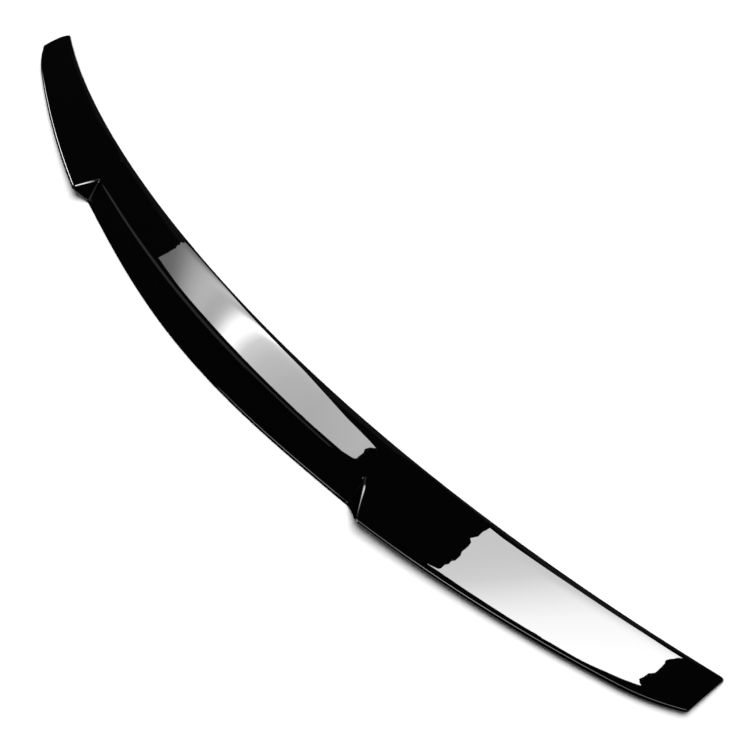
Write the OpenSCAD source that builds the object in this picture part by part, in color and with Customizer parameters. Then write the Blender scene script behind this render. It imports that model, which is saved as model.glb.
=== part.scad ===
// Car rear spoiler that sticks to the edge of a boot lid.
// One moulded skin, open and ribbed below, with six strips of foam tape in its two lands.
// It lies as it rests on a floor: X runs across the car, +Y to the car's front, Z up.
// The origin is at the middle of its footprint, on the floor.

/* [Overall] */
// Length from tip to tip
spoiler_length = 1180; // [1060:10:1300]
// Distance from the middle to the foot of each step
step_foot = 270.5; // [220:0.5:320]
// How far the lip's corner stands outward of the step's foot
step_lean = 23; // [12:0.5:32]
// Half the length, along X, of the curve that rounds the lip's corner
step_round = 4; // [2:0.5:8]
// Radius of the corners at the tips, in plan
tip_radius = 4; // [2:0.5:7]

/* [Front edge] */
// How far the tips lie ahead of the middle of the front edge
front_bow = 83; // [50:1:120]
// Share of that bow that gathers towards the tips
front_bow_share = 0.15; // [0:0.02:0.4]
// How far the front edge falls from the middle to the tips
front_fall = 22; // [14:0.2:30]
// Share of that fall that gathers towards the tips
front_fall_share = 0.95; // [0.3:0.05:1]
// Thickness of the front edge
front_edge = 2.5; // [1.5:0.1:4]
// Radius along the top of the front edge
front_radius = 1; // [0.4:0.1:1.4]
// Rise of the soft shoulder behind the front edge
shoulder_rise = 1.4; // [0.4:0.1:2.4]
// Width of that shoulder
shoulder_width = 12; // [6:0.5:18]

/* [Centre section] */
// Chord at the middle, from the front edge to the rear edge
centre_chord = 76.6; // [68:0.2:90]
// Chord at the foot of the steps
centre_chord_step = 66.2; // [60:0.2:72]
// Distance from the front edge back to the crease, at the middle
crease_back = 44.4; // [36:0.2:50]
// Distance from the front edge back to the crease, at the steps
crease_back_step = 40.6; // [34:0.2:44]
// Height of the crease at the middle
crease_height = 29.2; // [24:0.2:36]
// Height of the crease at the steps
crease_height_step = 21; // [16:0.2:24]
// Share of the change to the steps that gathers beside them; below 0 it gathers at the middle
centre_share = -0.6; // [-0.8:0.1:0.4]
// Length of the blend on each side of the crease
crease_blend = 2.5; // [1:0.1:4]
// Height of the rear edge's face
rear_edge = 3; // [2:0.1:4]
// How far that face leans outward at its foot
rear_rake = 1.6; // [0.5:0.1:3]
// Height of the upright foot below it
rear_foot = 0.8; // [0.4:0.1:1.2]
// How far the rear face sags between the crease and the rear edge
rear_hollow = 0.8; // [0:0.1:1.5]

/* [End sections] */
// Chord beside the steps, from the front edge to the lip
lip_chord_step = 74.6; // [70:0.2:84]
// Chord half-way along an end section
lip_chord_mid = 62.4; // [58:0.2:68]
// Chord at the tips, before the lip turns in
lip_chord_tip = 49; // [44:0.2:54]
// How far the lip turns in at the tips
lip_tuck = 7.4; // [0:0.2:9]
// Length over which it turns in
lip_tuck_length = 48; // [30:1:60]
// Height of the lip's lower corner beside the steps
lip_height_step = 11.6; // [8:0.2:14]
// Height of the lip's lower corner half-way along
lip_height_mid = 6.2; // [4:0.2:8]
// Height of the lip's lower corner at the tips
lip_height_tip = 5.4; // [3:0.2:7]
// Height of the lip's face
lip_edge = 2.2; // [1.8:0.1:4]
// How far that face leans outward at its foot
lip_rake = 2.2; // [1:0.1:4]
// Length of the blend along the lip's upper edge
lip_blend = 1.4; // [0.5:0.1:1.8]
// Width of the lip's lower side
lip_return = 3; // [1.5:0.1:5]
// How far that side falls towards the wall
lip_fall = 0.4; // [0.2:0.1:1]
// How far the wall below the lip is set back
undercut = 9; // [6:0.2:12]
// How far the upper surface bulges over a straight chord
crown = 1.2; // [0.2:0.1:2.4]

/* [Underside] */
// Thickness of the skin, measured upright
skin = 3.2; // [2.4:0.1:4]
// Width of the rim along the front and rear edges
rim = 2; // [1.5:0.1:3]
// Width of the lands that carry the tape
land = 8; // [6:0.5:10]
// Thickness of the foam tape, which lies flush with the rims
tape = 1.1; // [0.8:0.1:1.6]
// Bays between ribs on each half of the centre section
centre_bay_count = 3; // [2:1:4]
// Bays between ribs under each end section
end_bay_count = 3; // [2:1:4]
// Thickness of a rib
rib = 2.2; // [1.6:0.1:3]
// How far the ribs stay above the lands
rib_lift = 1; // [0.4:0.1:2]
// Slope that lets the walls and ribs leave the mould, as a width at their foot
draft = 0.8; // [0.4:0.1:1.2]
// Thickness of the wall that closes each tip
tip_wall = 4; // [3:0.5:6]
// Distance from the foot and the corner of a step to the nearest rib
rib_margin = 8; // [6:1:14]
// Distance from each tip to the last rib
tip_margin = 30; // [24:1:50]

/* [Hidden] */

half = spoiler_length / 2;
step_out = step_foot + step_lean;

// Points along each part of a section
upper_points = 8;
blend_points = 3;
rear_points = 3;
cavity_points = 7;
// Sections between two ribs, and round each corner
bay_sections = 3;
corner_sections = 4;

// What the section at a station is cut through
OPEN = 0;
RIB = 1;
WALL = 2;

// An even curve that goes from 0 to 1 as u does
function even(u, share) = (1 - share) * pow(u, 2) + share * pow(u, 4);

// The front edge's plan and height
function front_y(x) = front_bow * even(x / half, front_bow_share);
function front_z(x) = front_edge + front_fall * (1 - even(x / half, front_fall_share));

// A size that changes from the middle to the step's foot
function centre_size(x, middle, step) = middle + (step - middle) * even(x / step_foot, centre_share);

// A size that changes from the lip's corner over half-way to the tip
function end_share(x) = (x - step_out) / (half - step_out);
function end_size(x, step, mid, tip) =
    let (w = end_share(x))
    step * (1 - w) * (1 - 2 * w) + mid * 4 * w * (1 - w) + tip * w * (2 * w - 1);

// The four lines behind the front edge, each as [distance back, height]:
// crease or lip top, edge top, edge bottom, rim
function centre_lines(x) =
    let (back = centre_size(x, centre_chord, centre_chord_step))
    [[centre_size(x, crease_back, crease_back_step), centre_size(x, crease_height, crease_height_step)],
     [back - rear_rake, rear_edge],
     [back, rear_foot],
     [back, 0]];
function tuck(x) = lip_tuck * pow(max(0, x - half + lip_tuck_length) / lip_tuck_length, 2);
function end_lines(x) =
    let (back = end_size(x, lip_chord_step, lip_chord_mid, lip_chord_tip) - tuck(x),
         low = end_size(x, lip_height_step, lip_height_mid, lip_height_tip))
    [[back - lip_rake, low + lip_edge],
     [back, low],
     [back - lip_return, low - lip_fall],
     [back - undercut, 0]];
function ramp_lines(x) =
    let (w = (x - step_foot) / step_lean)
    (1 - w) * centre_lines(step_foot) + w * end_lines(step_out);
function corner_lines(x) =
    let (w = (x - step_out + step_round) / (2 * step_round))
    pow(1 - w, 2) * ramp_lines(step_out - step_round)
    + 2 * w * (1 - w) * end_lines(step_out)
    + w * w * end_lines(step_out + step_round);
function lines(x) =
    x <= step_foot ? centre_lines(x)
    : x < step_out - step_round ? ramp_lines(x)
    : x < step_out + step_round ? corner_lines(x)
    : end_lines(x);

// How far the rounded corner of a tip cuts in at this station
function corner_inset(x) =
    let (reach = max(0, x - (half - tip_radius)))
    tip_radius - sqrt(max(0, tip_radius * tip_radius - reach * reach));

// Upper surface from the front edge back to the crease or lip, p from 0 to 1
function upper_z(start, end, p) =
    let (s = min(1, p * (start.x - end.x) / shoulder_width))
    start.y + (end.y - start.y) * p + 4 * crown * p * (1 - p)
    + shoulder_rise * (1 - pow(1 - s, 2)) * (1 - p);
// Rear face from the crease or lip to the rear edge, p from 0 to 1
function rear_z(start, end, hollow, p) =
    start.y + (end.y - start.y) * p - 4 * hollow * p * (1 - p);

// A section at station [x, kind], as [y, z] points that start at the front edge's lower corner
function section(station) =
    let (
        x = abs(station.x),
        kind = station.y,
        inset = corner_inset(x),
        at = lines(x),
        front = front_y(x) - inset,
        f = [front, front_z(x)],
        shift = front_y(x) + inset,
        crease = [shift - at[0].x, at[0].y],
        edge_top = [shift - at[1].x, at[1].y],
        edge_low = [shift - at[2].x, at[2].y],
        rear_rim = [shift - at[3].x, at[3].y],
        front_rim = [front, f.y - front_edge],
        start = [front - front_radius, f.y],
        blend = x <= step_foot ? crease_blend : lip_blend,
        hollow = x <= step_foot ? rear_hollow : 0,
        face = norm(edge_top - crease),
        upper_end = 1 - blend / (start.x - crease.x),
        rear_start = blend / face,
        upper = [for (i = [0 : upper_points])
            let (p = upper_end * pow(i / upper_points, 1.25))
            [start.x + (crease.x - start.x) * p, upper_z(start, crease, p)]],
        rear = [for (i = [0 : rear_points])
            let (p = rear_start + (1 - rear_start) * i / rear_points)
            [crease.x + (edge_top.x - crease.x) * p, rear_z(crease, edge_top, hollow, p)]],
        rounded = [for (i = [1 : blend_points])
            let (t = i / (blend_points + 1))
            pow(1 - t, 2) * upper[upper_points] + 2 * t * (1 - t) * crease + t * t * rear[0]],
        // Underside: a straight base line from rim to rim, and the lands above it
        chord = front_rim.x - rear_rim.x,
        rim_w = min(rim, chord * 0.1),
        land_w = min(land, chord * 0.28),
        depth = kind == WALL ? 0 : tape,
        base = function (y) rear_rim.y + (front_rim.y - rear_rim.y) * (y - rear_rim.x) / chord,
        roof = function (y)
            y >= crease.x
            ? upper_z(start, crease, (start.x - y) / (start.x - crease.x))
            : rear_z(crease, edge_top, hollow, (crease.x - y) / (crease.x - edge_top.x)),
        ceiling = function (y)
            let (land_z = base(y) + depth)
            kind == WALL ? land_z
            : kind == RIB ? min(land_z + rib_lift, max(land_z, roof(y) - skin))
            : max(land_z, roof(y) - skin),
        rear_land = rear_rim.x + rim_w + draft + land_w,
        front_land = front_rim.x - rim_w - draft - land_w,
        cavity = [for (i = [0 : cavity_points])
            let (y = rear_land + draft + (front_land - rear_land - 2 * draft) * i / cavity_points)
            [y, ceiling(y)]]
    )
    concat(
        [front_rim,
         [front, f.y - front_radius],
         [front - front_radius * 0.29, f.y - front_radius * 0.29]],
        upper,
        rounded,
        rear,
        [edge_low, rear_rim],
        [[rear_rim.x + rim_w, base(rear_rim.x + rim_w)],
         [rear_rim.x + rim_w + draft, base(rear_rim.x + rim_w + draft) + depth],
         [rear_land, base(rear_land) + depth]],
        cavity,
        [[front_land, base(front_land) + depth],
         [front_rim.x - rim_w - draft, base(front_rim.x - rim_w - draft) + depth],
         [front_rim.x - rim_w, base(front_rim.x - rim_w)]]
    );

// Where the lands' corners stand in a section
rear_land_at = 3 + (upper_points + 1) + blend_points + (rear_points + 1) + 2 + 1;
front_land_at = rear_land_at + 2 + (cavity_points + 1);

// Stations of one rib, and of the bay that follows it up to the next one
function rib_stations(x) = [
    [x - rib / 2 - draft, OPEN], [x - rib / 2, RIB], [x + rib / 2, RIB], [x + rib / 2 + draft, OPEN]];
function bay_stations(a, b) = [for (i = [1 : bay_sections - 1]) [a + (b - a) * i / bay_sections, OPEN]];
function ribbed(a, b, bays) =
    [for (i = [0 : bays])
        let (x = a + (b - a) * i / bays)
        each concat(rib_stations(x), i < bays ? bay_stations(x, x + (b - a) / bays) : [])];

last_inner_rib = step_foot - rib_margin;
first_outer_rib = step_out + step_round + rib_margin;
last_outer_rib = half - tip_margin;

// The stations from the middle outwards: centre bays, step, end bays, tip
centre_bays = [for (s = ribbed(0, last_inner_rib, centre_bay_count)) if (s.x > 0) s];
step_stations = concat(
    [[step_foot, OPEN], [step_foot + 0.4 * (step_lean - step_round), OPEN]],
    [for (i = [0 : corner_sections])
        [step_out - step_round + 2 * step_round * i / corner_sections, OPEN]]);
end_bays = ribbed(first_outer_rib, last_outer_rib, end_bay_count);
tip_stations = concat(
    [[half - tip_margin / 2, OPEN], [half - tip_wall - draft, OPEN]],
    [for (i = [0 : corner_sections])
        [half - tip_wall + (tip_wall - tip_radius) + tip_radius * sin(90 * i / corner_sections), WALL]]);
right_half = concat(centre_bays, step_stations, end_bays, tip_stations);

function mirrored(stations) = [for (i = [len(stations) - 1 : -1 : 0]) [-stations[i].x, stations[i].y]];
all_stations = concat(mirrored(right_half), right_half);
all_sections = [for (s = all_stations) section(s)];

// The footprint's middle, which becomes the origin
y_middle = (max([for (r = all_sections, p = r) p.x]) + min([for (r = all_sections, p = r) p.x])) / 2;

// A closed body through sections at rising stations. Outward tells which way round they run, and
// crossed lists the sides whose facets are split along the other diagonal
module loft(stations, sections, outward, crossed = []) {
    n = len(sections[0]);
    last = len(sections) - 1;
    centre = function (ring) [for (k = [0, 1]) (min([for (p = ring) p[k]]) + max([for (p = ring) p[k]])) / 2];
    place = function (x, p) [x, p.x - y_middle, p.y];
    points = concat(
        [for (i = [0 : last], p = sections[i]) place(stations[i].x, p)],
        [place(stations[0].x, centre(sections[0])), place(stations[last].x, centre(sections[last]))]);
    side = [for (i = [0 : last - 1], j = [0 : n - 1])
        let (k = (j + 1) % n, a = i * n + j, b = i * n + k, c = a + n, d = b + n,
             swapped = len([for (side = crossed) if (side == j) side]) > 0,
             left = stations[i].x < 0)
        each left != swapped ? [[a, b, c], [b, d, c]] : [[a, b, d], [a, d, c]]];
    ends = [for (j = [0 : n - 1])
        let (k = (j + 1) % n)
        each [[(last + 1) * n, k, j], [(last + 1) * n + 1, last * n + j, last * n + k]]];
    faces = concat(side, ends);
    polyhedron(points, outward ? [for (f = faces) [f[2], f[1], f[0]]] : faces);
}

// The moulded skin with its rims, lands, ribs and closed tips
module spoiler_shell() {
    color("black") loft(all_stations, all_sections, true);
}

// One strip of foam tape that fills a land from rib to rib and lies flush with the rims
module tape_strip(stations, at) {
    strips = [for (s = stations)
        let (r = section(s), a = r[at], b = r[at + 1])
        [a, b, [b.x, b.y - tape], [a.x, a.y - tape]]];
    color("dimgray") loft(stations, strips, false, crossed = [2]);
}

centre_stations = concat(mirrored(centre_bays), centre_bays);
module tape_front_left() { tape_strip(mirrored(end_bays), front_land_at); }
module tape_front_centre() { tape_strip(centre_stations, front_land_at); }
module tape_front_right() { tape_strip(end_bays, front_land_at); }
module tape_rear_left() { tape_strip(mirrored(end_bays), rear_land_at); }
module tape_rear_centre() { tape_strip(centre_stations, rear_land_at); }
module tape_rear_right() { tape_strip(end_bays, rear_land_at); }

spoiler_shell();
tape_front_left();
tape_front_centre();
tape_front_right();
tape_rear_left();
tape_rear_centre();
tape_rear_right();
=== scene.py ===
"""Looks of a car rear spoiler that sticks to the edge of a boot lid.

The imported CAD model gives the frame: X across the car, +Y to the car's front, Z up, in metres.
A fine moulded skin and fine tape strips stand for the CAD solids. Sizes here are in millimetres,
as in the part's source, and become metres where a mesh is placed.
"""

import logging
import math
from dataclasses import dataclass
from enum import Enum
from functools import cached_property
from typing import Callable

import bpy
from mathutils import Matrix, Vector

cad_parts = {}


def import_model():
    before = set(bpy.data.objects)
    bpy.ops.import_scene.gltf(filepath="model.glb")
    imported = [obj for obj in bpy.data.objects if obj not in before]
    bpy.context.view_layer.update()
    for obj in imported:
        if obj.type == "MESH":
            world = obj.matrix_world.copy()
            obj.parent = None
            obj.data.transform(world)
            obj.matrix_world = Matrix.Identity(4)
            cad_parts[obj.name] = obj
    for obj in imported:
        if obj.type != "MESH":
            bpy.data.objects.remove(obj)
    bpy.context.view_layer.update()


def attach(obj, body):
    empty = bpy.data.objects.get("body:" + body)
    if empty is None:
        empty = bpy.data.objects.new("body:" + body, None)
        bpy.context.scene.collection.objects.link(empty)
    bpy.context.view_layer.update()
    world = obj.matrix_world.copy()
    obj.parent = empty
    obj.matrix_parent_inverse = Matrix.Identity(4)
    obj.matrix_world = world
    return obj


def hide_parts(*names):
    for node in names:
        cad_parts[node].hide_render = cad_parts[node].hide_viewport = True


LOG = logging.getLogger("spoiler")
MM = 0.001
MERGE_DISTANCE = 1e-7

Point = tuple[float, float]
Ring = list[Vector]


class TapeRow(Enum):
    """The two rows of foam tape in the underside."""

    FRONT = "front"
    REAR = "rear"


class TapePlace(Enum):
    """Where a strip of tape lies along its row."""

    LEFT = "left"
    CENTRE = "centre"
    RIGHT = "right"


class EdgeKind(Enum):
    """How an edge of a light card runs."""

    SMOOTH = "smooth"
    TORN = "torn"


# Small helpers

def linear_colour(code: str) -> tuple[float, float, float, float]:
    """Turns an sRGB hex colour into linear values.

    Args:
        code: Colour as "#rrggbb".

    Returns:
        Red, green, blue and an alpha of 1, all linear.
    """
    values = [int(code[i:i + 2], 16) / 255 for i in (1, 3, 5)]
    red, green, blue = [v / 12.92 if v <= 0.04045 else ((v + 0.055) / 1.055) ** 2.4 for v in values]
    return red, green, blue, 1.0


def feed(tree: bpy.types.NodeTree, node: bpy.types.Node, links: dict) -> None:
    """Links sockets of other nodes to a node, each by the name of the input that it feeds."""
    for name, socket in links.items():
        tree.links.new(socket, node.inputs[name])


def add_node(tree: bpy.types.NodeTree, kind: str, settings: dict | None = None,
             links: dict | None = None) -> bpy.types.Node:
    """Adds a node with its settings and links.

    Args:
        tree: Node tree that takes the node.
        kind: The node's type name.
        settings: Values by name: attributes first, and input sockets where no attribute has the name.
        links: Sockets of other nodes by the name of the input that they feed.

    Returns:
        The new node.
    """
    node = tree.nodes.new(kind)
    for name, value in (settings or {}).items():
        if isinstance(name, str) and hasattr(node, name):
            setattr(node, name, value)
        else:
            node.inputs[name].default_value = value
    feed(tree, node, links or {})
    return node


def started_material(name: str, values: dict | None = None
                     ) -> tuple[bpy.types.Material, bpy.types.NodeTree, bpy.types.Node]:
    """Starts a material.

    Args:
        name: Name of the material.
        values: Plain values of its surface shader, by the name of the socket.

    Returns:
        The material, its node tree and its surface shader.
    """
    material = bpy.data.materials.new(name)
    material.use_nodes = True
    shader = material.node_tree.nodes["Principled BSDF"]
    for socket, value in (values or {}).items():
        shader.inputs[socket].default_value = value
    return material, material.node_tree, shader


def bent(start: Point, corner: Point, end: Point, share: float) -> Point:
    """Gives the point of a rounded corner.

    Args:
        start: Where the rounding starts.
        corner: The sharp corner that it replaces.
        end: Where it ends.
        share: How far along it the point lies, from 0 to 1.

    Returns:
        The point.
    """
    a, b, c = (1 - share) ** 2, 2 * share * (1 - share), share ** 2
    return a * start[0] + b * corner[0] + c * end[0], a * start[1] + b * corner[1] + c * end[1]


def even(u: float, share: float) -> float:
    """Gives an even curve that goes from 0 to 1 as u does, with a share of its fourth power."""
    return (1 - share) * u ** 2 + share * u ** 4


def eased(u: float) -> float:
    """Gives a curve that goes from 0 to 1 as u does and is level at both ends."""
    return u * u * (3 - 2 * u)


def mixed(first: list[Point], second: list[Point], share: float) -> list[Point]:
    """Gives the points between two rows of points."""
    return [(a[0] + (b[0] - a[0]) * share, a[1] + (b[1] - a[1]) * share) for a, b in zip(first, second)]


def between(low: float, high: float, count: int) -> list[float]:
    """Gives the places that part a stretch into equal steps, without its ends."""
    return [low + (high - low) * i / count for i in range(1, count)]


def towards(start: Point, end: Point, distance: float) -> Point:
    """Gives the point at a distance from start on the way to end, at most half-way."""
    share = min(0.5, distance / math.dist(start, end))
    return start[0] + (end[0] - start[0]) * share, start[1] + (end[1] - start[1]) * share


def wrapped_sheet(name: str, rings: list[Ring], finish_of: Callable[[int], int]) -> bpy.types.Object:
    """Wraps a flat grid round a row of rings and closes its seam and its ends.

    Args:
        name: Name of the piece.
        rings: Closed rings of equal length, in metres, one for each station.
        finish_of: Gives the material index for the strip that starts at a point of the ring.

    Returns:
        The closed body, with its normals outwards.
    """
    around = len(rings[0])
    bpy.ops.object.select_all(action="DESELECT")
    bpy.ops.mesh.primitive_grid_add(x_subdivisions=len(rings) - 1, y_subdivisions=around, size=1)
    piece = bpy.context.object
    piece.name = piece.data.name = name
    mesh = piece.data
    column = [round((v.co.x + 0.5) * (len(rings) - 1)) for v in mesh.vertices]
    row = [round((v.co.y + 0.5) * around) for v in mesh.vertices]
    for face in mesh.polygons:
        face.material_index = finish_of(min(row[i] for i in face.vertices))
    for vertex, i, j in zip(mesh.vertices, column, row):
        vertex.co = rings[i][j % around]
    bpy.ops.object.mode_set(mode="EDIT")
    bpy.ops.mesh.select_all(action="SELECT")
    bpy.ops.mesh.remove_doubles(threshold=MERGE_DISTANCE)
    bpy.ops.mesh.select_all(action="SELECT")
    bpy.ops.mesh.fill_holes(sides=0)
    bpy.ops.mesh.select_all(action="SELECT")
    bpy.ops.mesh.normals_make_consistent(inside=False)
    bpy.ops.object.mode_set(mode="OBJECT")
    return piece


# Finishes

@dataclass(frozen=True)
class GlossBlackPlastic:
    """ABS moulded against a polished tool, the skin's visible side.

    It is as black as the resin gets and mirrors lamps sharply. What gives it away as plastic is a
    faint orange peel, a wave of a micron or two every few millimetres, and wide patches where it was
    wiped and is a little duller.
    """

    name: str = "moulded_gloss_black_abs"
    colour: str = "#030304"
    roughness: float = 0.015
    ior: float = 1.5
    peel_size: float = 5.0
    peel_height: float = 0.0012
    wipe_size: float = 71.43
    wipe_change: float = 0.3

    def make(self) -> bpy.types.Material:
        """Makes the finish.

        Returns:
            Its material.
        """
        values = {"Base Color": linear_colour(self.colour), "IOR": self.ior}
        material, tree, shader = started_material(self.name, values)
        place = add_node(tree, "ShaderNodeTexCoord")
        peel = add_node(tree, "ShaderNodeTexNoise", {"Scale": 1 / (self.peel_size * MM), "Detail": 1.0},
                        {"Vector": place.outputs["Object"]})
        bump = add_node(tree, "ShaderNodeBump", {"Strength": 1.0, "Distance": self.peel_height * MM},
                        {"Height": peel.outputs["Fac"]})
        wipe = add_node(tree, "ShaderNodeTexNoise", {"Scale": 1 / (self.wipe_size * MM), "Detail": 3.0},
                        {"Vector": place.outputs["Object"]})
        sheen = add_node(tree, "ShaderNodeMapRange",
                         {"To Min": self.roughness * (1 - self.wipe_change),
                          "To Max": self.roughness * (1 + self.wipe_change)},
                         {"Value": wipe.outputs["Fac"]})
        feed(tree, shader, {"Normal": bump.outputs["Normal"], "Roughness": sheen.outputs["Result"]})
        return material


@dataclass(frozen=True)
class SatinBlackPlastic:
    """The same ABS from a spark-eroded tool half, the skin's hidden side.

    The eroded steel leaves a fine grain that turns lamps into a broad dull sheen. The melt's flow
    makes wide patches of it a little paler and rougher.
    """

    name: str = "moulded_satin_black_abs"
    dark: str = "#101011"
    pale: str = "#1b1b1c"
    roughness: float = 0.46
    roughness_change: float = 0.08
    ior: float = 1.5
    grain_size: float = 0.9
    grain_height: float = 0.02
    flow_size: float = 55.56

    def make(self) -> bpy.types.Material:
        """Makes the finish.

        Returns:
            Its material.
        """
        material, tree, shader = started_material(self.name, {"IOR": self.ior})
        place = add_node(tree, "ShaderNodeTexCoord")
        grain = add_node(tree, "ShaderNodeTexNoise", {"Scale": 1 / (self.grain_size * MM), "Detail": 2.0},
                         {"Vector": place.outputs["Object"]})
        bump = add_node(tree, "ShaderNodeBump", {"Strength": 1.0, "Distance": self.grain_height * MM},
                        {"Height": grain.outputs["Fac"]})
        flow = add_node(tree, "ShaderNodeTexNoise", {"Scale": 1 / (self.flow_size * MM), "Detail": 3.0},
                        {"Vector": place.outputs["Object"]})
        shade = add_node(tree, "ShaderNodeValToRGB", links={"Fac": flow.outputs["Fac"]})
        shade.color_ramp.elements[0].color = linear_colour(self.dark)
        shade.color_ramp.elements[1].color = linear_colour(self.pale)
        sheen = add_node(tree, "ShaderNodeMapRange",
                         {"To Min": self.roughness - self.roughness_change,
                          "To Max": self.roughness + self.roughness_change},
                         {"Value": flow.outputs["Fac"]})
        feed(tree, shader, {"Base Color": shade.outputs["Color"], "Normal": bump.outputs["Normal"],
                            "Roughness": sheen.outputs["Result"]})
        return material


@dataclass(frozen=True)
class AcrylicFoam:
    """Closed-cell acrylic foam, the tape's body.

    Its cut sides show open cells of a third of a millimetre, drawn here at half a millimetre.
    The pit of each cell is painted darker than its rim, as shade.
    """

    name: str = "acrylic_foam"
    # dark is the painted shade in the cell pits, pale is the foam at the cell rims
    dark: str = "#5a5a5c"
    pale: str = "#7c7c7e"
    roughness: float = 0.85
    cell_size: float = 0.5
    cell_depth: float = 0.08

    def make(self) -> bpy.types.Material:
        """Makes the finish.

        Returns:
            Its material.
        """
        material, tree, shader = started_material(self.name, {"Roughness": self.roughness})
        place = add_node(tree, "ShaderNodeTexCoord")
        cells = add_node(tree, "ShaderNodeTexVoronoi", {"Scale": 1 / (self.cell_size * MM)},
                         {"Vector": place.outputs["Object"]})
        # Painted shade: the cell pits, low in the bump, are coloured dark and the rims pale
        shade = add_node(tree, "ShaderNodeValToRGB", links={"Fac": cells.outputs["Distance"]})
        shade.color_ramp.elements[0].color = linear_colour(self.dark)
        shade.color_ramp.elements[1].color = linear_colour(self.pale)
        bump = add_node(tree, "ShaderNodeBump", {"Strength": 1.0, "Distance": self.cell_depth * MM},
                        {"Height": cells.outputs["Distance"]})
        feed(tree, shader, {"Base Color": shade.outputs["Color"], "Normal": bump.outputs["Normal"]})
        return material


@dataclass(frozen=True)
class CoverFilm:
    """Red polyethylene film that covers the tape's glue until it is fitted.

    It is drawn film, so it is satin and carries slight waves where it lies on the foam.
    Painted shade makes the troughs of the waves a darker red.
    """

    name: str = "polyethylene_cover_film"
    colour: str = "#9b2420"
    # The darker red is painted shade in the troughs of the film's waves
    trough_shade: str = "#86201d"
    roughness: float = 0.36
    ior: float = 1.5
    wave_size: float = 9.0
    wave_height: float = 0.03
    trough_shade_below: float = 0.35
    bright_above: float = 0.65

    def make(self) -> bpy.types.Material:
        """Makes the finish.

        Returns:
            Its material.
        """
        values = {"Roughness": self.roughness, "IOR": self.ior}
        material, tree, shader = started_material(self.name, values)
        place = add_node(tree, "ShaderNodeTexCoord")
        waves = add_node(tree, "ShaderNodeTexNoise", {"Scale": 1 / (self.wave_size * MM), "Detail": 2.0},
                         {"Vector": place.outputs["Object"]})
        # Painted shade: the film is coloured darker where its waves run low in the bump
        shade = add_node(tree, "ShaderNodeValToRGB", links={"Fac": waves.outputs["Fac"]})
        shade.color_ramp.elements[0].position = self.trough_shade_below
        shade.color_ramp.elements[0].color = linear_colour(self.trough_shade)
        shade.color_ramp.elements[1].position = self.bright_above
        shade.color_ramp.elements[1].color = linear_colour(self.colour)
        bump = add_node(tree, "ShaderNodeBump", {"Strength": 1.0, "Distance": self.wave_height * MM},
                        {"Height": waves.outputs["Fac"]})
        feed(tree, shader, {"Base Color": shade.outputs["Color"], "Normal": bump.outputs["Normal"]})
        return material


# The spoiler's shape

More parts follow.
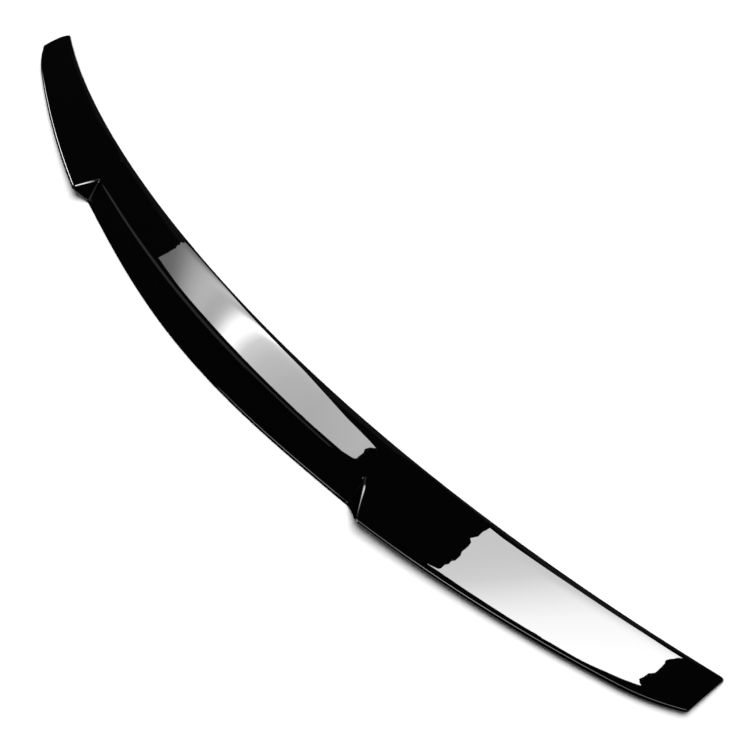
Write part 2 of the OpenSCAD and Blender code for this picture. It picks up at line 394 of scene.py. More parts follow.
@dataclass(frozen=True)
class SpoilerShape:
    """The spoiler's sizes in millimetres and the lines that its surfaces follow."""

    # Half the length, the steps and the tips
    half: float = 590.0
    step_foot: float = 270.5
    step_lean: float = 23.0
    step_round: float = 4.0
    foot_round: float = 1.2
    tip_radius: float = 4.0
    lip_corner: float = 1.4
    tip_edge: float = 1.2
    # The front edge and the shoulder behind it
    front_bow: float = 83.0
    front_bow_share: float = 0.15
    front_fall: float = 22.0
    front_fall_share: float = 0.95
    front_edge: float = 2.5
    front_radius: float = 1.0
    shoulder_rise: float = 1.4
    shoulder_width: float = 12.0
    crown: float = 1.2
    # The centre section, at the middle and beside the steps
    centre_chord: float = 76.6
    centre_chord_step: float = 66.2
    crease_back: float = 44.4
    crease_back_step: float = 40.6
    crease_height: float = 29.2
    crease_height_step: float = 21.0
    centre_share: float = -0.6
    crease_blend: float = 2.5
    rear_edge: float = 3.0
    rear_rake: float = 1.6
    rear_foot: float = 0.8
    rear_hollow: float = 0.8
    edge_corner: float = 0.7
    foot_corner: float = 0.5
    # The end sections, with chord and height beside the step, half-way and at the tip
    lip_chord: tuple[float, float, float] = (74.6, 62.4, 49.0)
    lip_height: tuple[float, float, float] = (11.6, 6.2, 5.4)
    lip_tuck: float = 7.4
    lip_tuck_length: float = 48.0
    lip_edge: float = 2.2
    lip_rake: float = 2.2
    lip_blend: float = 1.4
    step_blend: float = 1.6
    lip_return: float = 3.0
    lip_fall: float = 0.4
    undercut: float = 9.0
    # The hollow, its rims and the lands for the tape
    skin: float = 3.2
    hollow_round: float = 1.0
    rim: float = 2.0
    rear_bevel: float = 0.3
    front_bevel: float = 0.35
    land: float = 8.0
    land_share: float = 0.28
    tape: float = 1.1
    # The ribs and the walls of the tips
    rib: float = 2.2
    rib_lift: float = 1.0
    draft: float = 0.8
    tip_wall: float = 4.0
    rib_margin: float = 8.0
    tip_margin: float = 30.0
    bays: int = 3
    # How far the footprint's middle lies ahead of the middle of the front edge
    middle_y: float = 2.64981

    @property
    def step_out(self) -> float:
        """Gives the station of the lip's corner."""
        return self.step_foot + self.step_lean

    def front_y(self, x: float) -> float:
        """Gives how far the front edge has bowed forward at a station."""
        return self.front_bow * even(x / self.half, self.front_bow_share)

    def front_z(self, x: float) -> float:
        """Gives the height of the front edge at a station."""
        return self.front_edge + self.front_fall * (1 - even(x / self.half, self.front_fall_share))

    def centre_lines(self, x: float) -> list[Point]:
        """Gives the four lines behind the front edge in the centre section.

        Args:
            x: Station, as a distance from the middle.

        Returns:
            Crease, edge top, edge foot and rim, each as distance back and height.
        """
        share = even(x / self.step_foot, self.centre_share)
        chord = self.centre_chord + (self.centre_chord_step - self.centre_chord) * share
        back = self.crease_back + (self.crease_back_step - self.crease_back) * share
        height = self.crease_height + (self.crease_height_step - self.crease_height) * share
        return [(back, height), (chord - self.rear_rake, self.rear_edge),
                (chord, self.rear_foot), (chord, 0.0)]

    def end_lines(self, x: float) -> list[Point]:
        """Gives the same four lines in an end section, where the lip takes the crease's place.

        Args:
            x: Station, as a distance from the middle.

        Returns:
            Lip top, lip edge, the foot of its return and rim, each as distance back and height.
        """
        w = (x - self.step_out) / (self.half - self.step_out)
        step, mid, tip = (1 - w) * (1 - 2 * w), 4 * w * (1 - w), w * (2 * w - 1)
        chord = step * self.lip_chord[0] + mid * self.lip_chord[1] + tip * self.lip_chord[2]
        low = step * self.lip_height[0] + mid * self.lip_height[1] + tip * self.lip_height[2]
        reach = max(0.0, x - self.half + self.lip_tuck_length) / self.lip_tuck_length
        chord -= self.lip_tuck * reach ** 2
        return [(chord - self.lip_rake, low + self.lip_edge), (chord, low),
                (chord - self.lip_return, low - self.lip_fall), (chord - self.undercut, 0.0)]

    def sharp_lines(self, x: float) -> list[Point]:
        """Gives the four lines at any station, with sharp turns at the step's foot and corner.

        Args:
            x: Station, as a distance from the middle.

        Returns:
            The four lines, straight from the centre section's to the end section's across the step.
        """
        if x <= self.step_foot:
            return self.centre_lines(x)
        if x >= self.step_out:
            return self.end_lines(x)
        share = (x - self.step_foot) / self.step_lean
        return mixed(self.centre_lines(self.step_foot), self.end_lines(self.step_out), share)

    def lines(self, x: float) -> list[Point]:
        """Gives the four lines at any station, with the two turns rounded.

        Args:
            x: Station, as a distance from the middle.

        Returns:
            The four lines, each as distance back and height.
        """
        for turn, reach in ((self.step_foot, self.foot_round), (self.step_out, self.step_round)):
            if abs(x - turn) < reach:
                rows = zip(*(self.sharp_lines(turn + side * reach) for side in (-1, 0, 1)))
                return [bent(*row, (x - turn + reach) / (2 * reach)) for row in rows]
        return self.sharp_lines(x)

    def corner_inset(self, x: float, radius: float) -> float:
        """Gives how far a tip's corner of some radius takes an edge in at a station."""
        reach = max(0.0, x - (self.half - radius))
        return radius - math.sqrt(max(0.0, radius ** 2 - reach ** 2))

    def end_share(self, x: float) -> float:
        """Gives 0 in the centre section, 1 in an end section, and the way between on a step."""
        return min(1.0, max(0.0, (x - self.step_foot) / self.step_lean))


# Steps of a section's outline, from the front edge over the top to the rear rim
NOSE_STEPS = 6
TOP_STEPS = 36
CREASE_STEPS = 8
REAR_STEPS = 9
EDGE_STEPS = 4
FOOT_STEPS = 3
# How much of the top's spacing is even, where the rest crowds its points at both ends
TOP_EVENNESS = 0.45
# Share of the top over which its slope at the front is measured
SLOPE_SHARE = 0.01
# Steps of the hollow's ceiling, and where the round at each side of it has its points
CEILING_STEPS = 24
ROUND_SHARES = (0.06, 0.2, 0.42, 0.7)
# Stations round the corner of a tip
TIP_STEPS = 12


@dataclass(frozen=True)
class Section:
    """One cross-section of the moulded skin.

    It runs from the middle of the front edge's lower corner over the top to the rear rim, and back
    along the underside. Points are in millimetres, as distance forward and height.
    """

    shape: SpoilerShape
    x: float
    rib: float = 0.0
    closed: float = 0.0

    @cached_property
    def corners(self) -> dict[str, Point]:
        """Gives the corners that the outer side runs through.

        Returns:
            The corners by name, as distance forward and height.
        """
        shape, x = self.shape, abs(self.x)
        front = shape.front_y(x) - shape.corner_inset(x, shape.tip_radius)
        shift = shape.front_y(x) + shape.corner_inset(x, shape.lip_corner)
        crease, edge_top, edge_foot, rear_rim = [(shift - back, z) for back, z in shape.lines(x)]
        return {"front_rim": (front, shape.front_z(x) - shape.front_edge),
                "start": (front - shape.front_radius, shape.front_z(x)),
                "crease": crease, "edge_top": edge_top, "edge_foot": edge_foot, "rear_rim": rear_rim}

    def upper_point(self, p: float) -> Point:
        """Gives a point of the upper surface.

        Args:
            p: Share of the way from the front edge back to the crease.

        Returns:
            The point.
        """
        shape, start, crease = self.shape, self.corners["start"], self.corners["crease"]
        s = min(1.0, p * (start[0] - crease[0]) / shape.shoulder_width)
        height = start[1] + (crease[1] - start[1]) * p + 4 * shape.crown * p * (1 - p)
        return (start[0] - (start[0] - crease[0]) * p,
                height + shape.shoulder_rise * (1 - (1 - s) ** 2) * (1 - p))

    def rear_point(self, p: float) -> Point:
        """Gives a point of the rear face.

        Args:
            p: Share of the way from the crease down to the edge.

        Returns:
            The point.
        """
        crease, edge_top = self.corners["crease"], self.corners["edge_top"]
        hollow = self.shape.rear_hollow * (1 - self.shape.end_share(abs(self.x)))
        return (crease[0] + (edge_top[0] - crease[0]) * p,
                crease[1] + (edge_top[1] - crease[1]) * p - 4 * hollow * p * (1 - p))

    def outer(self) -> list[Point]:
        """Gives the points from the front edge over the top to the rear rim.

        Returns:
            The points, the same number for each station.
        """
        shape, at = self.shape, self.corners
        start, crease, edge_top, foot = at["start"], at["crease"], at["edge_top"], at["edge_foot"]
        length, face = start[0] - crease[0], math.dist(crease, edge_top)
        share = shape.end_share(abs(self.x))
        blend = shape.crease_blend + (shape.lip_blend - shape.crease_blend) * share
        blend += 4 * shape.step_blend * share * (1 - share)
        slope = (self.upper_point(SLOPE_SHARE)[1] - start[1]) / (SLOPE_SHARE * length)
        nose = (at["front_rim"][0], start[1] - slope * shape.front_radius)
        below = (nose[0], nose[1] - shape.front_radius)
        points = [bent(below, nose, start, i / NOSE_STEPS) for i in range(NOSE_STEPS)]
        for i in range(TOP_STEPS + 1):
            u = i / TOP_STEPS
            crowded = 0.5 - 0.5 * math.cos(math.pi * u)
            spaced = TOP_EVENNESS * u + (1 - TOP_EVENNESS) * crowded
            points.append(self.upper_point((1 - blend / length) * spaced))
        top, rear_start, rear_end = points[-1], blend / face, 1 - shape.edge_corner / face
        points += [bent(top, crease, self.rear_point(rear_start), i / CREASE_STEPS)
                   for i in range(1, CREASE_STEPS)]
        points += [self.rear_point(rear_start + (rear_end - rear_start) * i / REAR_STEPS)
                   for i in range(REAR_STEPS + 1)]
        last, after = points[-1], towards(edge_top, foot, shape.edge_corner)
        points += [bent(last, edge_top, after, i / EDGE_STEPS) for i in range(1, EDGE_STEPS + 1)]
        before, beyond = (towards(foot, end, shape.foot_corner) for end in (edge_top, at["rear_rim"]))
        points += [bent(before, foot, beyond, i / FOOT_STEPS) for i in range(FOOT_STEPS + 1)]
        return points

    def base(self, y: float) -> float:
        """Gives the height of the line from rim to rim."""
        front, rear = self.corners["front_rim"], self.corners["rear_rim"]
        return rear[1] + (front[1] - rear[1]) * (y - rear[0]) / (front[0] - rear[0])

    def floor(self, y: float) -> float:
        """Gives the height of the lands, which come down to the rims where the section is closed."""
        return self.base(y) + self.shape.tape * (1 - self.closed)

    def roof(self, y: float) -> float:
        """Gives the height of the outer side.

        Args:
            y: Place in the section, as distance forward.

        Returns:
            The height there.
        """
        start, crease, edge_top = (self.corners[name][0] for name in ("start", "crease", "edge_top"))
        if y >= crease:
            return self.upper_point((start - y) / (start - crease))[1]
        return self.rear_point((crease - y) / (crease - edge_top))[1]

    def ceiling(self, y: float) -> float:
        """Gives the height of the hollow's ceiling, or of the rib or end wall there.

        Args:
            y: Place in the section, as distance forward.

        Returns:
            The height there.
        """
        floor = self.floor(y)
        hollow = max(floor, self.roof(y) - self.shape.skin)
        rib_edge = min(floor + self.shape.rib_lift, hollow)
        filled = hollow + (rib_edge - hollow) * self.rib
        return filled + (floor - filled) * self.closed

    def round_point(self, y: float, share: float) -> Point:
        """Gives a point of the round that rises from a land into the ceiling."""
        rise = (1 - (1 - share) ** 3) ** (1 / 3)
        return y, self.floor(y) + (self.ceiling(y) - self.floor(y)) * rise

    def underside(self) -> list[Point]:
        """Gives the points from the rear rim along the underside to the front edge.

        Returns:
            The points, the same number for each station.
        """
        shape = self.shape
        front, rear = self.corners["front_rim"], self.corners["rear_rim"]
        land = min(shape.land, (front[0] - rear[0]) * shape.land_share)
        wall = shape.draft + shape.hollow_round
        rear_wall, front_wall = rear[0] + shape.rim + shape.draft, front[0] - shape.rim - shape.draft
        rear_land, front_land = rear_wall + land, front_wall - land
        low, high = rear_land + wall, front_land - wall
        points = [(y, self.base(y)) for y in (rear[0] + shape.rear_bevel, rear[0] + shape.rim)]
        points += [(y, self.floor(y)) for y in (rear_wall, rear_land)]
        points += [self.round_point(rear_land + wall * s, s) for s in ROUND_SHARES]
        points += [(y, self.ceiling(y)) for y in (low, *between(low, high, CEILING_STEPS), high)]
        points += [self.round_point(front_land - wall * s, s) for s in reversed(ROUND_SHARES)]
        points += [(y, self.floor(y)) for y in (front_land, front_wall)]
        points += [(y, self.base(y)) for y in (front[0] - shape.rim, front[0] - shape.front_bevel)]
        return points + [(front[0], front[1] + shape.front_bevel)]

    def ring(self) -> Ring:
        """Gives the closed section in metres, in the spoiler's place.

        Returns:
            The points of the outer side, lowered on the rounded edge of a tip, and of the underside.
        """
        shape, outer = self.shape, self.outer()
        drop = shape.corner_inset(abs(self.x), shape.tip_edge)
        kept = 1 - drop / max(z - self.base(y) for y, z in outer)
        lowered = [(y, self.base(y) + max(0.0, z - self.base(y)) * kept + min(0.0, z - self.base(y)))
                   for y, z in outer]
        return [Vector((self.x, y - shape.middle_y, z)) * MM for y, z in lowered + self.underside()]


# Pieces

@dataclass(frozen=True)
class MouldedSkin:
    """The spoiler's one moulding: a gloss skin with rims, lands, ribs and closed tips below."""

    shape: SpoilerShape
    name: str = "spoiler_skin"
    node: str = "spoiler_shell"
    slot: str = "gloss_black_plastic"
    bay_pitch: float = 7.0
    step_pitch: float = 1.0
    tip_bay_steps: int = 7
    rib_bevel: float = 0.3
    rib_round: float = 0.4
    smooth_angle: float = 38.0

    def ribs(self) -> list[float]:
        """Gives where the ribs stand.

        Returns:
            Their stations, from the middle to a tip.
        """
        shape = self.shape
        inner_end = shape.step_foot - shape.rib_margin
        outer_start = shape.step_out + shape.step_round + shape.rib_margin
        outer_end = shape.half - shape.tip_margin
        return [0.0, *between(0.0, inner_end, shape.bays), inner_end,
                outer_start, *between(outer_start, outer_end, shape.bays), outer_end]

    def half_stations(self) -> list[tuple[float, float, float]]:
        """Gives the stations from the middle to a tip.

        Returns:
            For each station its distance from the middle, how far it is filled by a rib, and how far
            it is closed by the wall of the tip, both from 0 to 1.
        """
        shape, ribs = self.shape, self.ribs()
        rib_top = shape.rib / 2 - self.rib_bevel
        rib_foot = shape.rib / 2 + shape.draft + self.rib_round
        hollow_end = shape.half - shape.tip_wall - shape.draft
        open_places = between(ribs[-1] + rib_foot, hollow_end, self.tip_bay_steps) + [hollow_end]
        for number, (before, after) in enumerate(zip(ribs, ribs[1:])):
            low, high = before + rib_foot, after - rib_foot
            pitch = self.step_pitch if number == shape.bays else self.bay_pitch
            open_places += between(low, high, round((high - low) / pitch))
        stations = [(x, 0.0, 0.0) for x in open_places] + [(rib, 1.0, 0.0) for rib in ribs]
        for share in (0.0, 0.2, 0.4, 0.6, 0.8, 1.0):
            reach = rib_top + (rib_foot - rib_top) * share
            stations += [(rib + side * reach, 1 - eased(share), 0.0) for rib in ribs for side in (-1, 1)]
        stations += [(hollow_end + shape.draft * share, 0.0, eased(share))
                     for share in (0.25, 0.5, 0.75, 1.0)]
        stations += [(shape.half - shape.tip_radius * (1 - math.sin(math.pi / 2 * i / TIP_STEPS)), 0.0, 1.0)
                     for i in range(1, TIP_STEPS + 1)]
        return sorted(station for station in stations if station[0] >= 0)

    def build(self) -> bpy.types.Object:
        """Builds the skin.

        Returns:
            The piece, with its gloss outer side and satin underside.
        """
        right = self.half_stations()
        stations = [(-x, rib, closed) for x, rib, closed in reversed(right[1:])] + right
        rings = [Section(self.shape, *station).ring() for station in stations]
        outer = len(Section(self.shape, 0.0).outer())
        piece = wrapped_sheet(self.name, rings, lambda strip: 0 if strip < outer - 1 else 1)
        bpy.ops.object.shade_smooth_by_angle(angle=math.radians(self.smooth_angle))
        return piece

    def dress(self, piece: bpy.types.Object) -> None:
        """Gives the piece its materials and its body, and hides the CAD node that it stands for.

        Args:
            piece: The skin.
        """
        piece.data.materials.append(GlossBlackPlastic().make())
        piece.data.materials.append(SatinBlackPlastic().make())
        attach(piece, "root")
        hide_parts(self.node)


@dataclass(frozen=True)
class FoamTape:
    """One strip of double-sided foam tape with its cover film, in a land of the underside."""

    shape: SpoilerShape
    row: TapeRow
    place: TapePlace
    slot: str = "foam_tape"
    film: float = 0.12
    foam_inset: float = 0.25
    film_inset: float = 0.05
    corner: float = 0.3
    pitch: float = 6.0

    @property
    def node(self) -> str:
        """Gives the name of the CAD node that the strip stands for."""
        return f"tape_{self.row.value}_{self.place.value}"

    def span(self) -> tuple[float, float]:
        """Gives how far the strip runs.

        Returns:
            The stations of its two ends, from left to right.
        """
        shape = self.shape
        reach = shape.rib / 2 + shape.draft
        if self.place is TapePlace.CENTRE:
            inner = shape.step_foot - shape.rib_margin + reach
            return -inner, inner
        near = shape.step_out + shape.step_round + shape.rib_margin - reach
        far = shape.half - shape.tip_margin + reach
        return (-far, -near) if self.place is TapePlace.LEFT else (near, far)

    def face(self, x: float) -> tuple[Point, Point]:
        """Gives the strip's lower face at a station.

        Args:
            x: The station.

        Returns:
            The rear and front corner of the face.
        """
        shape, section = self.shape, Section(self.shape, x)
        if self.row is TapeRow.REAR:
            y = section.corners["rear_rim"][0] + shape.rim + shape.draft
        else:
            y = section.corners["front_rim"][0] - shape.rim - shape.draft - shape.land
        return (y, section.base(y)), (y + shape.land, section.base(y + shape.land))

    def layer(self, name: str, low: float, high: float, inset: float) -> bpy.types.Object:
        """Builds one layer of the strip.

        Args:
            name: Name of the piece.
            low: Height of its lower side over the strip's face.
            high: Height of its upper side.
            inset: How far its sides and ends stand in from the strip's.

        Returns:
            The layer, as a closed body.
        """
        start, end = self.span()
        count = round((end - start) / self.pitch)
        soft = min(self.corner, (high - low) / 3)
        rings: list[Ring] = []
        for i in range(count + 1):
            x = start + inset + (end - start - 2 * inset) * i / count
            rear, front = self.face(x)
            a, b = towards(rear, front, inset), towards(front, rear, inset)
            a_in, b_in = towards(a, b, soft), towards(b, a, soft)
            corners = [(a_in, low), (a, low + soft / 2), (a, high - soft / 2), (a_in, high),
                       (b_in, high), (b, high - soft / 2), (b, low + soft / 2), (b_in, low)]
            rings.append([Vector((x, p[0] - self.shape.middle_y, p[1] + up)) * MM for p, up in corners])
        return wrapped_sheet(name, rings, lambda strip: 0)

    def build(self) -> list[bpy.types.Object]:
        """Builds the strip.

        Returns:
            Its foam and its film.
        """
        foam = self.layer(f"{self.node}_foam", self.film, self.shape.tape, self.foam_inset)
        film = self.layer(f"{self.node}_film", 0.0, self.film, self.film_inset)
        return [foam, film]

    def dress(self, pieces: list[bpy.types.Object], foam: bpy.types.Material,
              film: bpy.types.Material) -> None:
        """Gives both layers their materials and their body, and hides the CAD node that they stand for.

        Args:
            pieces: The foam and the film.
            foam: Material of the foam.
            film: Material of the film.
        """
        for piece, material in zip(pieces, (foam, film)):
            piece.data.materials.append(material)
            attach(piece, "root")
            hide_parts(self.node)


# The studio

@dataclass(frozen=True)
class Studio:
    """A white floor under plain soft light, with a dark room above it for the gloss to mirror."""

    floor_size: float = 12000.0
    floor_drop: float = 0.2
    floor_level: float = 0.8
    seen_level: float = 1.1
    key_level: float = 3.0
    key_softness: float = 56.0
    key_from: tuple[float, float, float] = (0.02, 0.37, 0.93)
    key_distance: float = 3000.0
    sky_level: float = 0.1
    mirrored_sky_level: float = 0.01

    def floor(self) -> bpy.types.Object:
        """Lays the floor, which the camera and mirrors see as white with the object's shadow.

        Returns:
            The floor.
        """
        bpy.ops.object.select_all(action="DESELECT")
        bpy.ops.mesh.primitive_plane_add(size=self.floor_size * MM, location=(0, 0, -self.floor_drop * MM))
        floor = bpy.context.object
        floor.name = "floor"
        material, tree, plain_shader = started_material("white_sweep")
        tree.nodes.remove(plain_shader)
        path = add_node(tree, "ShaderNodeLightPath")
        seen = path.outputs["Is Camera Ray"]
        for name in ("Is Glossy Ray", "Is Transmission Ray"):
            either = add_node(tree, "ShaderNodeMath", {"operation": "MAXIMUM"},
                              {0: seen, 1: path.outputs[name]})
            seen = either.outputs[0]
        level = add_node(tree, "ShaderNodeMapRange", {"To Min": self.floor_level, "To Max": self.seen_level},
                         {"Value": seen})
        shader = add_node(tree, "ShaderNodeBsdfDiffuse", links={"Color": level.outputs["Result"]})
        feed(tree, tree.nodes["Material Output"], {"Surface": shader.outputs["BSDF"]})
        floor.data.materials.append(material)
        return floor

    def key(self) -> bpy.types.Object:
        """Hangs the soft key light.

        Returns:
            The lamp.
        """
        bpy.ops.object.light_add(type="SUN", location=Vector(self.key_from) * self.key_distance * MM)
        lamp = bpy.context.object
        lamp.name = "key"
        lamp.data.energy = self.key_level
        lamp.data.angle = math.radians(self.key_softness)
        lamp.rotation_euler = Vector(self.key_from).to_track_quat("Z", "Y").to_euler()
        lamp.visible_glossy = False
        return lamp

    def sky(self) -> None:
        """Sets the room: white to the camera, plain light for matt surfaces, near darkness for the gloss."""
        world = bpy.data.worlds.new("studio")
        bpy.context.scene.world = world
        world.use_nodes = True
        tree = world.node_tree
        background = tree.nodes["Background"]
        background.inputs["Color"].default_value = (1, 1, 1, 1)
        path = add_node(tree, "ShaderNodeLightPath")
        mirrored = add_node(tree, "ShaderNodeMapRange",
                            {"To Min": self.sky_level, "To Max": self.mirrored_sky_level},
                            {"Value": path.outputs["Is Glossy Ray"]})
        level = add_node(tree, "ShaderNodeMath", {"operation": "MAXIMUM"},
                         {0: mirrored.outputs["Result"], 1: path.outputs["Is Camera Ray"]})
        feed(tree, background, {"Strength": level.outputs[0]})

    def build(self) -> None:
        """Builds the studio."""
        self.floor()
        self.key()
        self.sky()
        for card in CARDS:
            card.build()


# Steps between two of the points of a smooth edge
EDGE_CURVE_STEPS = 5


@dataclass(frozen=True)
class CardEdge:
    """One edge of a light card: a smooth curve through its points, or a torn line."""

    kind: EdgeKind
    points: tuple[Point, ...]

    def trace(self) -> list[Point]:
        """Gives the points of the edge.

        Returns:
            The points, all of them on the edge.
        """
        if self.kind is EdgeKind.TORN:
            return list(self.points)
        row = (self.points[0],) + self.points + (self.points[-1],)
        traced: list[Point] = []
        for four in zip(row, row[1:], row[2:], row[3:]):
            for step in range(EDGE_CURVE_STEPS):
                t = step / EDGE_CURVE_STEPS
                weights = (-t + 2 * t * t - t ** 3, 2 - 5 * t * t + 3 * t ** 3,
                           t + 4 * t * t - 3 * t ** 3, -t * t + t ** 3)
                x, y = (sum(w * p[k] for w, p in zip(weights, four)) / 2 for k in (0, 1))
                traced.append((x, y))
        return traced + [self.points[-1]]


@dataclass(frozen=True)
class LightCard:
    """A glowing card near the spoiler that only its gloss mirrors.

    Its edges run round it in order. The glow changes along a line across the card, by steps of
    distance and level, where 1 is white. The turn is in degrees.
    """

    name: str
    edges: tuple[CardEdge, ...]
    glow: tuple[Point, ...]
    slant: float = 0.0
    place: tuple[float, float, float] = (0.0, 0.0, 0.0)
    turn: tuple[float, float, float] = (0.0, 0.0, 0.0)

    def material(self) -> bpy.types.Material:
        """Makes the card's glow.

        Returns:
            Its material.
        """
        material, tree, plain_shader = started_material(f"glow_of_{self.name}")
        tree.nodes.remove(plain_shader)
        place = add_node(tree, "ShaderNodeTexCoord")
        across = add_node(tree, "ShaderNodeVectorMath",
                          {"operation": "DOT_PRODUCT", 1: (1.0, self.slant, 0.0)},
                          {0: place.outputs["Object"]})
        low, high = self.glow[0][0], self.glow[-1][0]
        along = add_node(tree, "ShaderNodeMapRange", {"From Min": low * MM, "From Max": high * MM},
                         {"Value": across.outputs["Value"]})
        ramp = add_node(tree, "ShaderNodeValToRGB", links={"Fac": along.outputs["Result"]})
        peak = max(LEAST_PEAK, max(level for _, level in self.glow))
        stops = ramp.color_ramp.elements
        for at, level in self.glow[1:-1]:
            stops.new((at - low) / (high - low)).color = (level / peak,) * 3 + (1.0,)
        stops[0].color = (self.glow[0][1] / peak,) * 3 + (1.0,)
        stops[-1].color = (self.glow[-1][1] / peak,) * 3 + (1.0,)
        shader = add_node(tree, "ShaderNodeEmission", {"Strength": peak}, {"Color": ramp.outputs["Color"]})
        feed(tree, tree.nodes["Material Output"], {"Surface": shader.outputs["Emission"]})
        return material

    def build(self) -> bpy.types.Object:
        """Hangs the card.

        Returns:
            The card.
        """
        outline = [point for edge in self.edges for point in edge.trace()]
        bpy.ops.object.select_all(action="DESELECT")
        bpy.ops.mesh.primitive_circle_add(vertices=len(outline), fill_type="NGON")
        card = bpy.context.object
        card.name = self.name
        for vertex, (x, y) in zip(card.data.vertices, outline):
            vertex.co = Vector((x, y, 0.0)) * MM
        card.location = Vector(self.place) * MM
        card.rotation_euler = [math.radians(angle) for angle in self.turn]
        card.data.materials.append(self.material())
        card.visible_camera = card.visible_diffuse = card.visible_shadow = False
        return card


def smooth_edge(*points: Point) -> CardEdge:
    """Gives an edge that curves through its points."""
    return CardEdge(EdgeKind.SMOOTH, points)


def torn_edge(*points: Point) -> CardEdge:
    """Gives an edge that runs straight from point to point."""
    return CardEdge(EdgeKind.TORN, points)


def even_glow(level: float) -> tuple[Point, ...]:
    """Gives a glow that is the same all over a card."""
    return (-1.0, level), (1.0, level)


# The peak that a black card's levels are shares of
LEAST_PEAK = 0.1
BLACK = even_glow(0.0)
UPRIGHT = (90.0, 0.0, 0.0)
# Half a metre over the centre section, dim at the far end, with a white band across its middle
CENTRE_CARD = LightCard(
    name="centre_card",
    edges=(
        torn_edge((-648, 6), (-638, 44), (-630, 85), (-627, 152), (-647, 236), (-727, 409)),
        smooth_edge((-800, 530), (-822, 640), (-750, 665), (-640, 602), (-520, 532), (-354, 425),
                    (-207, 272), (-85, 130)),
        torn_edge((9, 49), (7, 26), (10, -2), (18, -29), (23, -63), (26, -82), (26, -94), (22, -99),
                  (8, -105)),
        smooth_edge((-52, -83), (-165, -34), (-286, 4), (-409, 22), (-541, 17), (-627, 10))),
    glow=((-600, 2.4), (-570, 2.8), (-540, 3.9), (-510, 5.7), (-480, 7.5), (-450, 8.8), (-430, 9.0),
          (-400, 8.3), (-385, 8.5), (-370, 9.6), (-355, 12.5), (-340, 17.5), (-320, 24.0), (-300, 23.0),
          (-285, 19.0), (-265, 13.6), (-220, 11.2), (-160, 10.2), (-90, 9.8), (0, 10.8)),
    slant=0.35,
    place=(0, 0, 500))
# A quarter of a metre over the right end section, brighter towards the tip
END_CARD = LightCard(
    name="end_card",
    edges=(
        torn_edge((312, -112), (325, -106), (326, -101), (325, -91), (327, -85), (326, -76), (328, -71),
                  (327, -57), (324, -49), (323, -32), (321, -23), (316, -18), (320, -5), (313, 45),
                  (304, 86)),
        smooth_edge((326, 83), (373, 105), (419, 137), (465, 179), (492, 218), (512, 250)),
        torn_edge((524, 278), (531, 229), (538, 185), (543, 140), (543, 120), (541, 102), (539, 85),
                  (535, 72), (533, 57), (531, 45), (533, 39), (535, 38)),
        smooth_edge((520, 13), (490, -31), (455, -61), (413, -85), (367, -101), (329, -109))),
    glow=((330, 14.0), (360, 14.4), (390, 15.7), (420, 19.6), (450, 23.0), (500, 25.5)),
    slant=-0.4,
    place=(0, 0, 250))
# Behind the left end, low, for the bright line along its lip
LEFT_STRIP = LightCard(
    name="left_strip",
    edges=(
        smooth_edge((-400, 700), (-310, 660), (-290, 580), (-250, 480), (-200, 450), (-155, 430)),
        smooth_edge((-155, 340), (-200, 335), (-280, 370), (-360, 440), (-400, 540))),
    glow=((-400, 24.0), (-250, 19.0), (-180, 15.0), (-155, 10.0)),
    place=(-1600, 0, 0),
    turn=(90.0, 0.0, 90.0))
# Behind the right end, for the grey line along its lip, strongest by the step
RIGHT_STRIP = LightCard(
    name="right_strip",
    edges=(
        smooth_edge((-100, 380), (150, 420), (350, 620), (550, 850), (750, 1200), (950, 1400),
                    (1500, 1000)),
        smooth_edge((1500, 1800), (950, 2050), (750, 1900), (550, 1500), (350, 1050), (150, 820),
                    (-100, 780))),
    glow=((-100, 2.6), (150, 3.2), (260, 7.0), (380, 8.0), (500, 5.5), (900, 4.5), (1500, 4.0)),
    place=(0, -1200, 0),
    turn=UPRIGHT)
# Behind the centre section, just over the floor, for the thin line along its rear edge
REAR_STRIP = LightCard(
    name="rear_strip",
    edges=(
        torn_edge((-700, 80), (-160, 60), (-160, 450), (-450, 360), (-700, 260)),),
    glow=((-700, 2.0), (-550, 4.0), (-160, 5.0)),
    place=(0, -1200, 0),
    turn=UPRIGHT)
# Small and close to each step, for the bright line on its upper edge
RIGHT_STEP_CARD = LightCard(
    name="right_step_card",
    edges=(
        torn_edge((2.4, 35), (3, 29), (4, 26), (4.2, 24), (30, 19.3), (30, 20.4), (24, 23), (18, 27),
                  (13, 35), (8.5, 41), (4, 40)),),
    glow=((2.4, 0.1), (4.4, 0.5), (5.8, 10.0), (8.5, 14.0), (18, 11.0), (30, 8.0)),
    place=(261.5, -35, 0),
    turn=(90.0, 0.0, -51.5))
LEFT_STEP_CARD = LightCard(
    name="left_step_card",
    edges=(
        torn_edge((1, -1.6), (29, -1.6), (29, 1.6), (1, 1.6)),),
    glow=((1, 3.0), (8, 13.0), (14, 18.0), (29, 22.0)),
    place=(-275.4, -34.8, 21.6),
    turn=(0.0, 9.1, -131.6))
# Black, beside the card before it, so that the crease mirrors none of that card
STEP_FLAG = LightCard(
    name="step_flag",
    edges=(
        torn_edge((-8, 17.5), (29, 12.5), (29, 18), (-8, 24)),),
    glow=BLACK,
    place=(-273.98, -36.06, 0),
    turn=(90.0, 0.0, -131.6))
# Faint, high in front of the spoiler, for the dull strip along its front edge
FRONT_CARD = LightCard(
    name="front_card",
    edges=(
        torn_edge((340, 540), (190, 400), (-270, 550), (-800, 660), (-1500, 600), (-1950, 280),
                  (-3000, 900), (-2400, 2200), (-600, 1600), (200, 1500), (340, 1500)),),
    glow=((-3000, 0.04), (-1200, 0.06), (-300, 0.11), (100, 0.16)),
    place=(0, 0, 1000))
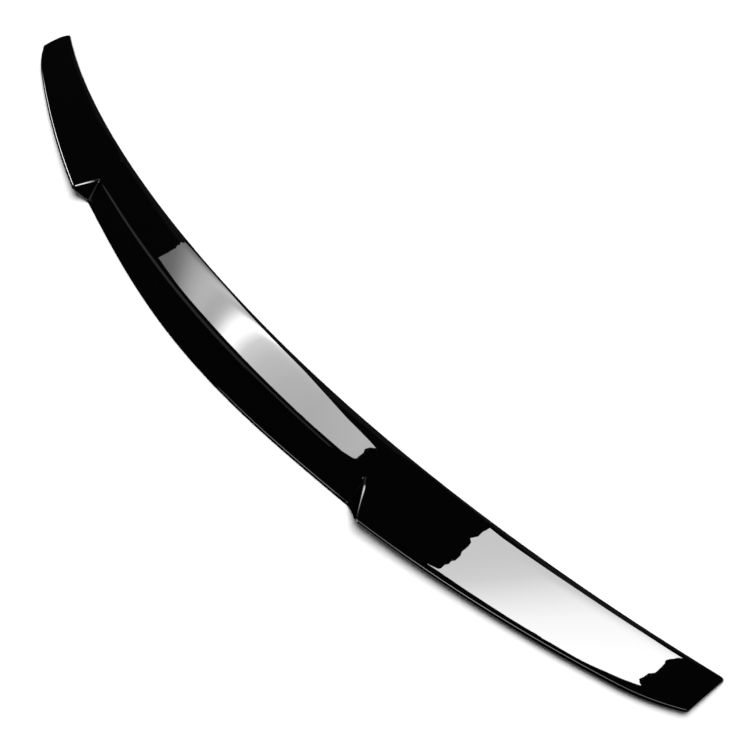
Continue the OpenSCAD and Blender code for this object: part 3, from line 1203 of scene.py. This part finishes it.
# Faint and wide, for the dull band along the crease
CREASE_CARD = LightCard(
    name="crease_card",
    edges=(
        torn_edge((0, -240), (-300, -180), (-700, -200), (-1150, -340), (-2200, -1050), (-1600, -1320),
                  (-900, -1120), (-500, -900), (-380, -600), (-50, -500)),),
    glow=even_glow(0.35),
    place=(0, 0, 500))
# Black, on the floor behind the spoiler, so that its lips and steps mirror no white floor
REAR_FLAG = LightCard(
    name="rear_flag",
    edges=(
        smooth_edge((-620, 40), (-300, -30), (0, -50), (300, -30), (620, 40)),
        torn_edge((800, -500), (-900, -500))),
    glow=BLACK,
    place=(0, 0, 0.4))
CARDS = (CENTRE_CARD, END_CARD, LEFT_STRIP, RIGHT_STRIP, REAR_STRIP, RIGHT_STEP_CARD, LEFT_STEP_CARD,
         STEP_FLAG, FRONT_CARD, CREASE_CARD, REAR_FLAG)


@dataclass(frozen=True)
class Viewpoint:
    """The camera, to the rear right of the spoiler and above it, as in the photograph.

    Yaw turns it from the car's front to the right, pitch tilts it down and roll turns it about its
    own line of sight, all in degrees.
    """

    place: tuple[float, float, float] = (715.29, -168.39, 806.74)
    yaw: float = -67.98
    pitch: float = 54.052
    roll: float = -17.889
    lens: float = 48.765
    sensor: float = 36.0
    nearest: float = 10.0

    def build(self) -> bpy.types.Object:
        """Adds the camera and makes it the scene's.

        Returns:
            The camera.
        """
        yaw, pitch, roll = (math.radians(a) for a in (self.yaw, self.pitch, self.roll))
        ahead = Vector((math.sin(yaw) * math.cos(pitch), math.cos(yaw) * math.cos(pitch), -math.sin(pitch)))
        level = Vector((math.cos(yaw), -math.sin(yaw), 0.0))
        above = level.cross(ahead)
        right = level * math.cos(roll) + above * math.sin(roll)
        up = right.cross(ahead)
        bpy.ops.object.camera_add()
        camera = bpy.context.object
        facing = Matrix((right, up, -ahead)).transposed().to_4x4()
        camera.matrix_world = Matrix.Translation(Vector(self.place) * MM) @ facing
        camera.data.lens = self.lens
        camera.data.sensor_width = self.sensor
        camera.data.clip_start = self.nearest * MM
        bpy.context.scene.camera = camera
        return camera


def main() -> None:
    """Builds the whole scene in order and reports each piece."""
    logging.basicConfig(level=logging.INFO, format="%(name)s: %(message)s")
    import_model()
    Viewpoint().build()
    Studio().build()
    shape = SpoilerShape()
    skin = MouldedSkin(shape)
    piece = skin.build()
    skin.dress(piece)
    LOG.info("%s: %d faces", piece.name, len(piece.data.polygons))
    foam, film = AcrylicFoam().make(), CoverFilm().make()
    for row in TapeRow:
        for place in TapePlace:
            tape = FoamTape(shape, row, place)
            layers = tape.build()
            tape.dress(layers, foam, film)
            LOG.info("%s: foam and film, %d faces", tape.node, sum(len(o.data.polygons) for o in layers))
    bpy.context.scene.view_settings.view_transform = "Standard"
    bpy.context.view_layer.update()


if __name__ == "__main__":
    main()
